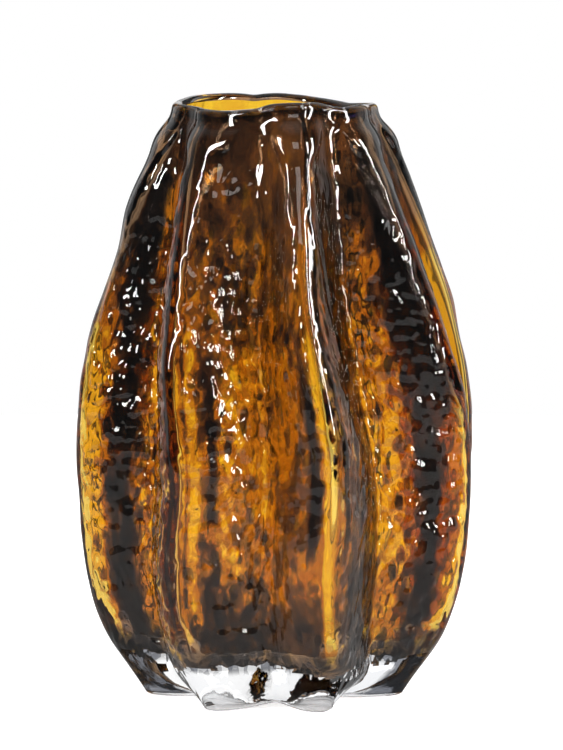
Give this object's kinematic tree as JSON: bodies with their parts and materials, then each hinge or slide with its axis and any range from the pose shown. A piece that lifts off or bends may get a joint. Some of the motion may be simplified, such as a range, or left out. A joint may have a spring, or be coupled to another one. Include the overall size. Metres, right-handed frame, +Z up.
{
  "type": "gourd vase",
  "caption": "Free-standing gourd-shaped vase of cased glass: wandering vertical ridges over a round belly, a narrow wavy mouth, a thick clear heel and a star-shaped foot.",
  "frame": {"origin": "on the vase's axis, in the flat plane of the foot that it stands on", "axes": "+Z up along the vase's axis, -Y is the front that the picture shows, +X is to that view's right"},
  "size_m": [0.1502, 0.1448, 0.225],
  "materials": {
    "clear_glass": "gloss",
    "amber_glass": "gloss"
  },
  "bodies": {
    "root": {"clear_casing": "clear_glass", "amber_lining": "amber_glass"}
  },
  "joints": []
}
